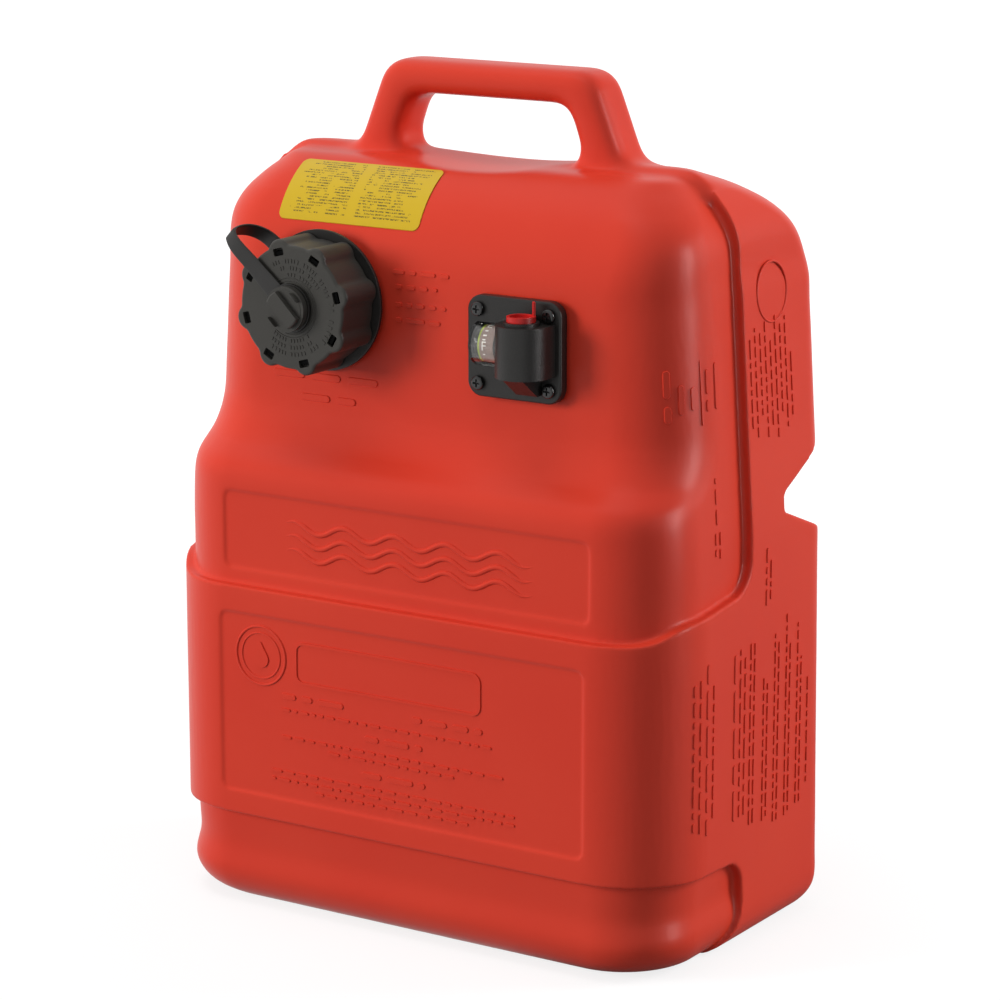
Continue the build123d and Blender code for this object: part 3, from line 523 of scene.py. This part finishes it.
# Drop: a plain raised drop of the same red skin, in the double ring on the lower front.
# A round pad whose upper half is drawn out to a blunt point.
DROP_RADIUS = 0.0056
DROP_POINT = 0.0048
DROP_NARROWS = 0.75
DROP_Z = 0.1592
bpy.ops.object.select_all(action="DESELECT")
bpy.ops.mesh.primitive_cylinder_add(vertices=32, radius=DROP_RADIUS, depth=MARK_DEPTH)
drop = bpy.context.object
drop.name = "plain_drop"
for vertex in drop.data.vertices:
    rise = max(0.0, vertex.co.y / DROP_RADIUS)
    vertex.co.x *= 1.0 - DROP_NARROWS * rise * rise
    vertex.co.y += DROP_POINT * rise * rise
drop.data.transform(Matrix.Rotation(pi / 2, 4, "X"))
drop.data.transform(Matrix.Translation((EMBLEM_X, TIER_FACE - MARK_MIDDLE, DROP_Z)))
bpy.ops.object.shade_smooth_by_angle(angle=radians(30))
settled(drop, moulded_red, "tank")

# Waves: three plain ripples, one over the other, in the middle of the upper panel.
# They are half-round ridges of the same red skin that thin out at both ends.
WAVE_COUNT = 3
WAVE_LENGTH = 0.180
WAVE_TURNS = 5
WAVE_STEPS = 90
WAVE_RIDGE = 0.0017
WAVE_RISE = 0.0032
WAVE_SPACING = 0.0085
WAVE_MIDDLE = Vector((0.0035, -0.0943, 0.2335))
for number in range(WAVE_COUNT):
    path = bpy.data.curves.new("wave", "CURVE")
    path.dimensions = "3D"
    path.bevel_depth = WAVE_RIDGE
    path.bevel_resolution = 3
    path.use_fill_caps = True
    ripple = path.splines.new("POLY")
    ripple.points.add(WAVE_STEPS)
    for step, point in enumerate(ripple.points):
        share = step / WAVE_STEPS
        over = WAVE_SPACING * (number - 1) + WAVE_RISE * sin(2 * pi * WAVE_TURNS * share)
        point.co = (*(WAVE_MIDDLE + Vector((WAVE_LENGTH * (share - 0.5), 0, over))), 1)
        point.radius = min(1.0, 9 * min(share, 1 - share) + 0.15)
    wave = bpy.data.objects.new("wave_" + str(number + 1), path)
    bpy.context.collection.objects.link(wave)
    bpy.ops.object.select_all(action="DESELECT")
    wave.select_set(True)
    bpy.context.view_layer.objects.active = wave
    bpy.ops.object.convert(target="MESH")
    bpy.ops.object.shade_smooth()
    settled(bpy.context.object, moulded_red, "tank")


# Label: printed vinyl film, stuck on the shoulder over the cap, with a little lift where it creases.
# Two columns of print, of specks that spell nothing. The film is glossier than the tank under it.
LABEL_AT = Vector((-0.060, -0.0440, 0.4340))
LABEL_LEAN = radians(52)
LABEL_ROW = 0.0019
LABEL_STROKE = 0.00044
LABEL_FOLD = 0.0035
LABEL_LONGEST = 0.0450
LABEL_SHORTEST = 0.0300
LABEL_HALF = 0.0195
LETTER_MM = 0.4762
LETTER_STRETCH = 0.35
WORD_MM = 4.762
CREASE_MM = 18.18
# Vinyl film is smooth, so that its yellow takes a soft glare; the ink is a dull olive.
film = bpy.data.materials.new("printed_vinyl_yellow")
film.use_nodes = True
tree = film.node_tree
skin = tree.nodes["Principled BSDF"]
place = add_node(tree, "ShaderNodeTexCoord", {}, {})
centred = add_node(tree, "ShaderNodeVectorMath", {"operation": "SUBTRACT", 1: LABEL_AT}, {
    0: place.outputs["Object"]})
laid = add_node(tree, "ShaderNodeVectorRotate", {
    "rotation_type": "X_AXIS", "Angle": -(pi / 2 - LABEL_LEAN)}, {"Vector": centred.outputs[0]})
axes = add_node(tree, "ShaderNodeSeparateXYZ", {}, {0: laid.outputs[0]})
row = add_node(tree, "ShaderNodeMath", {"operation": "SNAP", 1: LABEL_ROW}, {0: axes.outputs["Y"]})
in_row = add_node(tree, "ShaderNodeMath", {"operation": "SUBTRACT"}, {
    0: axes.outputs["Y"], 1: row.outputs[0]})
on_line = add_node(tree, "ShaderNodeMath", {"operation": "COMPARE", 1: LABEL_ROW / 2, 2: LABEL_STROKE}, {
    0: in_row.outputs[0]})
from_middle = add_node(tree, "ShaderNodeMath", {"operation": "ABSOLUTE"}, {0: axes.outputs["X"]})
side = add_node(tree, "ShaderNodeMath", {"operation": "SIGN"}, {0: axes.outputs["X"]})
seed = add_node(tree, "ShaderNodeMath", {"operation": "MULTIPLY_ADD", 1: 0.1, 2: 0.0}, {0: side.outputs[0]})
seed = add_node(tree, "ShaderNodeMath", {"operation": "ADD"}, {0: seed.outputs[0], 1: row.outputs[0]})
ragged = add_node(tree, "ShaderNodeTexWhiteNoise", {"noise_dimensions": "1D"}, {"W": seed.outputs[0]})
line_end = add_node(tree, "ShaderNodeMapRange", {"To Min": LABEL_LONGEST, "To Max": LABEL_SHORTEST}, {
    "Value": ragged.outputs["Value"]})
from_fold = add_node(tree, "ShaderNodeMath", {"operation": "MULTIPLY"}, {
    0: axes.outputs["X"], 1: side.outputs[0]})
after_fold = add_node(tree, "ShaderNodeMath", {"operation": "GREATER_THAN", 1: LABEL_FOLD}, {
    0: from_fold.outputs[0]})
before_end = add_node(tree, "ShaderNodeMath", {"operation": "LESS_THAN"}, {
    0: from_middle.outputs[0], 1: line_end.outputs[0]})
in_rows = add_node(tree, "ShaderNodeMath", {"operation": "COMPARE", 1: 0.0, 2: LABEL_HALF}, {
    0: axes.outputs["Y"]})
tall = add_node(tree, "ShaderNodeVectorMath", {"operation": "MULTIPLY", 1: (1.0, LETTER_STRETCH, 1.0)}, {
    0: laid.outputs[0]})
letters = add_node(tree, "ShaderNodeTexNoise", {"Scale": 1000 / LETTER_MM, "Detail": 0.0}, {
    "Vector": tall.outputs[0]})
words = add_node(tree, "ShaderNodeTexNoise", {"Scale": 1000 / WORD_MM, "Detail": 0.0}, {
    "Vector": laid.outputs[0]})
strokes = add_node(tree, "ShaderNodeMath", {"operation": "GREATER_THAN", 1: 0.47}, {
    0: letters.outputs["Fac"]})
spaced = add_node(tree, "ShaderNodeMath", {"operation": "GREATER_THAN", 1: 0.40}, {0: words.outputs["Fac"]})
ink = on_line
for part in (after_fold, before_end, in_rows, strokes, spaced):
    ink = add_node(tree, "ShaderNodeMath", {"operation": "MULTIPLY"}, {0: ink.outputs[0], 1: part.outputs[0]})
shade = add_node(tree, "ShaderNodeMix", {"data_type": "RGBA", 6: linear("#C6A408"), 7: linear("#5C5010")}, {
    0: ink.outputs[0]})
creases = add_node(tree, "ShaderNodeTexNoise", {"Scale": 1000 / CREASE_MM, "Detail": 1.0}, {
    "Vector": place.outputs["Object"]})
relief = add_node(tree, "ShaderNodeBump", {"Strength": 0.35, "Distance": 0.0012}, {
    "Height": creases.outputs["Fac"]})
tree.links.new(skin.inputs["Base Color"], shade.outputs[2])
tree.links.new(skin.inputs["Normal"], relief.outputs["Normal"])
skin.inputs["Roughness"].default_value = 0.30
dressed("label", film, "tank")


# Filler cap: moulded polypropylene with eight grip lobes and eight windows in a fine, matt, grained face.
# It turns on the threads of a black liner cup, and seals on a gasket. The liner is painted darker than black
# plastic, as painted shade in the windows.
# The vent knob in its middle is of the same plastic, with a small rubber seal of its own.
def moulded(name, dark, light, roughness, grain_mm, depth, specular):
    """Moulded plastic or rubber: two near tones and a fine grain left by the spark-eroded mould."""
    material = bpy.data.materials.new(name)
    material.use_nodes = True
    tree = material.node_tree
    shader = tree.nodes["Principled BSDF"]
    place = add_node(tree, "ShaderNodeTexCoord", {}, {})
    spots = add_node(tree, "ShaderNodeTexNoise", {"Scale": 1000 / grain_mm, "Detail": 3.0}, {
        "Vector": place.outputs["Object"]})
    tone = add_node(tree, "ShaderNodeMix", {"data_type": "RGBA", 6: linear(dark), 7: linear(light)}, {
        0: spots.outputs["Fac"]})
    relief = add_node(tree, "ShaderNodeBump", {"Strength": depth, "Distance": 0.0003}, {
        "Height": spots.outputs["Fac"]})
    tree.links.new(shader.inputs["Base Color"], tone.outputs[2])
    tree.links.new(shader.inputs["Normal"], relief.outputs["Normal"])
    shader.inputs["Roughness"].default_value = roughness
    shader.inputs["Specular IOR Level"].default_value = specular
    return material


# Grained polypropylene is a flat, greyish black. The liner is black plastic painted darker still and nearly
# without gloss: painted shade for the cap's windows. Pressed nitrile is dull.
cap_black = moulded("textured_polypropylene_black", "#302F2C", "#403E3A",
                    roughness=0.46, grain_mm=0.35, depth=0.12, specular=0.30)
liner_black_painted_shade = moulded("polyethylene_black_painted_shade", "#020202", "#050505",
                      roughness=0.60, grain_mm=0.5, depth=0.08, specular=0.05)
rubber_black = moulded("nitrile_rubber_black", "#161616", "#1E1E1E",
                       roughness=0.75, grain_mm=0.4, depth=0.15, specular=0.25)
dressed("filler_cap", cap_black, "filler_cap", edge=0.0005)
# The liner's near-black colour is partly its own black and partly painted shade, so that the cap's windows
# read as dark hollows.
dressed("cap_liner", liner_black_painted_shade, "filler_cap")
dressed("cap_gasket", rubber_black, "filler_cap")
dressed("vent_seal", rubber_black, "vent_lift")
dressed("vent_knob", cap_black, "vent_knob", edge=0.0003)

# Cap face marks: rings of small raised blanks and two fine ridges round the knob.
# They are of the cap's own plastic, as the engraving in its mould leaves them.
CAP_FACE = -0.104
PAD_HEIGHT = 0.0007
DEGREES_IN_RADIAN = 57.3
bpy.ops.object.select_all(action="DESELECT")
bpy.ops.mesh.primitive_cube_add(size=1.0)
pad = bpy.context.object
select_faces(pad, lambda centre, normal: normal.z > 0.9)
bpy.ops.transform.resize(value=(0.75, 0.85, 1.0))
bpy.ops.object.mode_set(mode="OBJECT")
# Each arc of pads: its radius, the angles at which it begins and ends, and the height of its pads.
CAP_ARCS = [
    {"radius": 0.0275, "begin": 20, "end": 118, "size": 0.0026},
    {"radius": 0.0235, "begin": 35, "end": 112, "size": 0.0024},
    {"radius": 0.0195, "begin": 45, "end": 100, "size": 0.0022},
    {"radius": 0.0290, "begin": -38, "end": 12, "size": 0.0034},
    {"radius": 0.0275, "begin": -120, "end": -48, "size": 0.0026},
    {"radius": 0.0235, "begin": -125, "end": -50, "size": 0.0024},
    {"radius": 0.0195, "begin": -128, "end": -52, "size": 0.0022},
]
ring_marks = bmesh.new()
for arc in CAP_ARCS:
    angle = arc["begin"]
    count = 0
    while angle < arc["end"]:
        width = arc["size"] * draw.uniform(0.3, 0.6)
        middle = radians(angle)
        out = Vector((cos(middle), 0, sin(middle)))
        side = Vector((-sin(middle), 0, cos(middle)))
        front = Vector((0, -1, 0))
        begin = len(ring_marks.verts)
        ring_marks.from_mesh(pad.data)
        ring_marks.verts.ensure_lookup_table()
        centre = NECK_AXIS + out * arc["radius"] + Vector((0, CAP_FACE, 0))
        turn = Matrix((side * -width, out * arc["size"], front * PAD_HEIGHT)).transposed().to_4x4()
        bmesh.ops.transform(
            ring_marks, matrix=Matrix.Translation(centre) @ turn, verts=ring_marks.verts[begin:])
        count += 1
        gap = 0.5 * arc["size"] + (0.9 * arc["size"] if count % 5 == 0 else 0)
        angle += (width + gap) / arc["radius"] * DEGREES_IN_RADIAN
mesh = bpy.data.meshes.new("cap_face_marks")
bmesh.ops.recalc_face_normals(ring_marks, faces=ring_marks.faces)
ring_marks.to_mesh(mesh)
ring_marks.free()
cap_marks = bpy.data.objects.new("cap_face_marks", mesh)
bpy.context.collection.objects.link(cap_marks)
settled(cap_marks, cap_black, "filler_cap")
bpy.data.objects.remove(pad)
cap_middle = NECK_AXIS + Vector((0, CAP_FACE, 0))
for number, radius in enumerate((0.0158, 0.0176)):
    ridge_ring("cap_ridge_" + str(number + 1), cap_middle, (0, -1, 0), radius, ridge=0.0003,
               material=cap_black, body="filler_cap")

# Tether: a soft polyethylene ring round the knob and a collar behind the cap, joined by a band.
# The band loops out over the edge of the cap, and bends where the cap rises from the tank.
# Soft polyethylene has a waxy sheen along its bends.
tether_black = moulded("soft_polyethylene_black", "#1C1B1A", "#262422",
                       roughness=0.42, grain_mm=0.6, depth=0.08, specular=0.4)
dressed("tether_ring", tether_black, "cap_tether", edge=0.0003)
dressed("tether_collar", tether_black, "tank", edge=0.0004)
STRAP_ANGLE = radians(138)
STRAP_THICK = 0.0016
strap_out = Vector((cos(STRAP_ANGLE), 0, sin(STRAP_ANGLE)))
strap_side = Vector((-sin(STRAP_ANGLE), 0, cos(STRAP_ANGLE)))
# Each point of the band: distance from the axis of the cap, and place front to back.
STRAP_PATH = [
    (0.0130, -0.1056), (0.0260, -0.1056), (0.0400, -0.1060), (0.0520, -0.1072), (0.0595, -0.1030),
    (0.0612, -0.0925), (0.0590, -0.0815), (0.0530, -0.0745), (0.0470, -0.0728), (0.0400, -0.0722),
]
STRAP_WIDTHS = [0.0120, 0.0110, 0.0100, 0.0095, 0.0090, 0.0090, 0.0090, 0.0095, 0.0100, 0.0110]
bpy.ops.object.select_all(action="DESELECT")
bpy.ops.mesh.primitive_grid_add(x_subdivisions=len(STRAP_PATH) - 1, y_subdivisions=2, size=1.0)
strap = bpy.context.object
strap.name = "tether_band"
for vertex in strap.data.vertices:
    step = round((vertex.co.x + 0.5) * (len(STRAP_PATH) - 1))
    reach, depth = STRAP_PATH[step]
    across = vertex.co.y * STRAP_WIDTHS[step]
    vertex.co = NECK_AXIS + strap_out * reach + strap_side * across + Vector((0, depth, 0))
thick = strap.modifiers.new("thick", "SOLIDIFY")
thick.thickness = STRAP_THICK
thick.offset = 0.0
bpy.ops.object.modifier_apply(modifier="thick")
select_faces(strap, lambda centre, normal: True)
bpy.ops.mesh.normals_make_consistent(inside=False)
bpy.ops.object.mode_set(mode="OBJECT")
crisp = strap.modifiers.new("crisp", "BEVEL")
crisp.width = 0.0004
crisp.segments = 1
crisp.angle_limit = radians(50)
bpy.ops.object.modifier_apply(modifier="crisp")
smooth = strap.modifiers.new("smooth", "SUBSURF")
smooth.levels = 3
smooth.render_levels = 3
bpy.ops.object.modifier_apply(modifier="smooth")
bpy.ops.object.shade_smooth()
strap.data.materials.append(tether_black)
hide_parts("tether_strap")
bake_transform(strap)

# Gauge flange: glass-filled nylon, moulded in one with the elbow for the hose, with a rough grain.
# Four blackened steel screws hold it down on a sheet gasket. Their heads are the glossiest thing on it.
# Glass fibre gives the nylon a pale, uneven bloom; oxide leaves the steel black and bright.
nylon_black = moulded("glass_filled_nylon_black", "#151413", "#272523",
                      roughness=0.38, grain_mm=0.8, depth=0.45, specular=0.35)
dressed("gauge_flange", nylon_black, "tank", edge=0.0006)
dressed("flange_gasket", rubber_black, "tank")
screw_black = moulded("black_oxide_steel", "#0E0E0E", "#161616",
                      roughness=0.18, grain_mm=1.0, depth=0.03, specular=0.6)
dressed("flange_screws", screw_black, "tank", edge=0.0002)

# Gauge lens: a clear window of moulded acrylic, clipped into the flange over the drum.
# Its faces are polished, so that it shows the dial with small sharp highlights.
# Acrylic is clear, with a faint grey where it is thick.
acrylic = bpy.data.materials.new("moulded_acrylic_clear")
acrylic.use_nodes = True
clear = acrylic.node_tree.nodes["Principled BSDF"]
clear.inputs["Base Color"].default_value = linear("#F6F6F4")
clear.inputs["Roughness"].default_value = 0.03
clear.inputs["IOR"].default_value = 1.49
clear.inputs["Transmission Weight"].default_value = 1.0
dressed("gauge_lens", acrylic, "tank")

# Dial: an acetal drum on the float's hinge, with a printed band round it behind the lens.
# The band is black, a green stripe, and a tin-coloured field with white letters and dashes.
# Acetal is a smooth dark grey, and the band is printed on a satin film.
drum_grey = moulded("moulded_acetal_dark", "#222222", "#2A2A2A",
                    roughness=0.5, grain_mm=0.6, depth=0.1, specular=0.4)
drum = dressed("gauge_drum", drum_grey, "gauge_float")
DRUM_GROWTH = 0.0020
DRUM_MIDDLE = 0.0475
for vertex in drum.data.vertices:
    if vertex.co.x < DRUM_MIDDLE:
        vertex.co.x -= DRUM_GROWTH
BAND_LEFT = 0.0435
BAND_WIDTH = 0.010
STRIPE_BEGINS = 0.22
STRIPE_ENDS = 0.33
band = bpy.data.materials.new("printed_dial_band")
band.use_nodes = True
tree = band.node_tree
skin = tree.nodes["Principled BSDF"]
place = add_node(tree, "ShaderNodeTexCoord", {}, {})
axes = add_node(tree, "ShaderNodeSeparateXYZ", {}, {0: place.outputs["Object"]})
stripes = add_node(tree, "ShaderNodeValToRGB", {}, {})
stripes.color_ramp.interpolation = "CONSTANT"
stripes.color_ramp.elements[0].color = linear("#141414")
stripes.color_ramp.elements[1].position = STRIPE_BEGINS
stripes.color_ramp.elements[1].color = linear("#9FB32C")
field = stripes.color_ramp.elements.new(STRIPE_ENDS)
field.color = linear("#8F756C")
spread = add_node(tree, "ShaderNodeMapRange", {"From Min": BAND_LEFT, "From Max": BAND_LEFT + BAND_WIDTH}, {
    "Value": axes.outputs["X"]})
tree.links.new(stripes.inputs["Fac"], spread.outputs[0])
tree.links.new(skin.inputs["Base Color"], stripes.outputs["Color"])
skin.inputs["Roughness"].default_value = 0.35
strip = dressed("dial_strip", band, "gauge_float")
for vertex in strip.data.vertices:
    if vertex.co.x < DRUM_MIDDLE:
        vertex.co.x -= DRUM_GROWTH
white_print = moulded("white_dial_ink", "#E6E4DE", "#F2F0EA",
                      roughness=0.5, grain_mm=0.5, depth=0.05, specular=0.4)
HINGE = Vector((0.051, -0.073, 0.3615))
BAND_RADIUS = 0.01073
PRINT_THICK = 0.00008
PRINT_LEFT = 0.0012
# Each mark: its sign, its place round the drum in degrees, and its size.
DIAL_MARKS = [("F", 0, 0.0074), ("-", 24, 0.0080), ("-", -22, 0.0060), ("-", 38, 0.0096), ("-", 53, 0.0080),
              ("E", 75, 0.0074)]
for number, (sign, angle, size) in enumerate(DIAL_MARKS):
    bpy.ops.object.select_all(action="DESELECT")
    bpy.ops.object.text_add()
    text = bpy.context.object
    text.data.body = sign
    text.data.size = size
    text.data.align_x = "CENTER"
    text.data.align_y = "CENTER"
    text.data.extrude = PRINT_THICK
    bpy.ops.object.convert(target="MESH")
    text = bpy.context.object
    text.name = "dial_mark_" + str(number + 1)
    bpy.ops.object.mode_set(mode="EDIT")
    bpy.ops.mesh.select_all(action="SELECT")
    bpy.ops.mesh.remove_doubles(threshold=1e-6)
    bpy.ops.mesh.subdivide(number_cuts=3)
    bpy.ops.object.mode_set(mode="OBJECT")
    for vertex in text.data.vertices:
        turn = radians(angle) + vertex.co.y / BAND_RADIUS
        radius = BAND_RADIUS + vertex.co.z
        vertex.co = HINGE + Vector((vertex.co.x - PRINT_LEFT, -radius * cos(turn), radius * sin(turn)))
    settled(text, white_print, "gauge_float")

# Inside the tank: a drawn stainless steel pin, arm and clip carry a foam float on the gauge's hinge.
# The pickup is a natural nylon tube, pushed into the flange, with a moulded strainer at its foot.
# Drawn steel is bright with faint streaks, foam is dull and pitted, and natural nylon is a milky cream.
DRAWN_MM = 2.5
steel = bpy.data.materials.new("drawn_stainless_steel")
steel.use_nodes = True
tree = steel.node_tree
skin = tree.nodes["Principled BSDF"]
place = add_node(tree, "ShaderNodeTexCoord", {}, {})
drawn = add_node(tree, "ShaderNodeTexNoise", {"Scale": 1000 / DRAWN_MM, "Detail": 2.0}, {
    "Vector": place.outputs["Object"]})
gloss = add_node(tree, "ShaderNodeMapRange", {"To Min": 0.22, "To Max": 0.38}, {
    "Value": drawn.outputs["Fac"]})
skin.inputs["Base Color"].default_value = linear("#B4B2AE")
skin.inputs["Metallic"].default_value = 1.0
tree.links.new(skin.inputs["Roughness"], gloss.outputs[0])
foam = moulded("closed_cell_nitrile_foam", "#201F1E", "#343230",
               roughness=0.85, grain_mm=0.9, depth=0.5, specular=0.2)
natural = moulded("natural_nylon", "#D6D2C4", "#E0DCD0",
                  roughness=0.4, grain_mm=2.0, depth=0.05, specular=0.5)
for node in ("pivot_pin", "float_arm", "float_clip"):
    dressed(node, steel, "tank" if node == "pivot_pin" else "gauge_float")
dressed("gauge_float", foam, "gauge_float")
for node in ("pickup_tube", "pickup_strainer"):
    dressed(node, natural, "tank")

# Port plug: a soft red polyethylene plug that closes the hose port until a hose is fitted.
# Its rim stands above the elbow, and it is pulled out by a thin tab.
# Soft polyethylene in a deeper red than the tank, with a waxy sheen.
plug_red = moulded("soft_polyethylene_red", "#B81A18", "#C4221E",
                   roughness=0.35, grain_mm=1.0, depth=0.06, specular=0.4)
dressed("port_plug", plug_red, "port_plug", edge=0.0003)
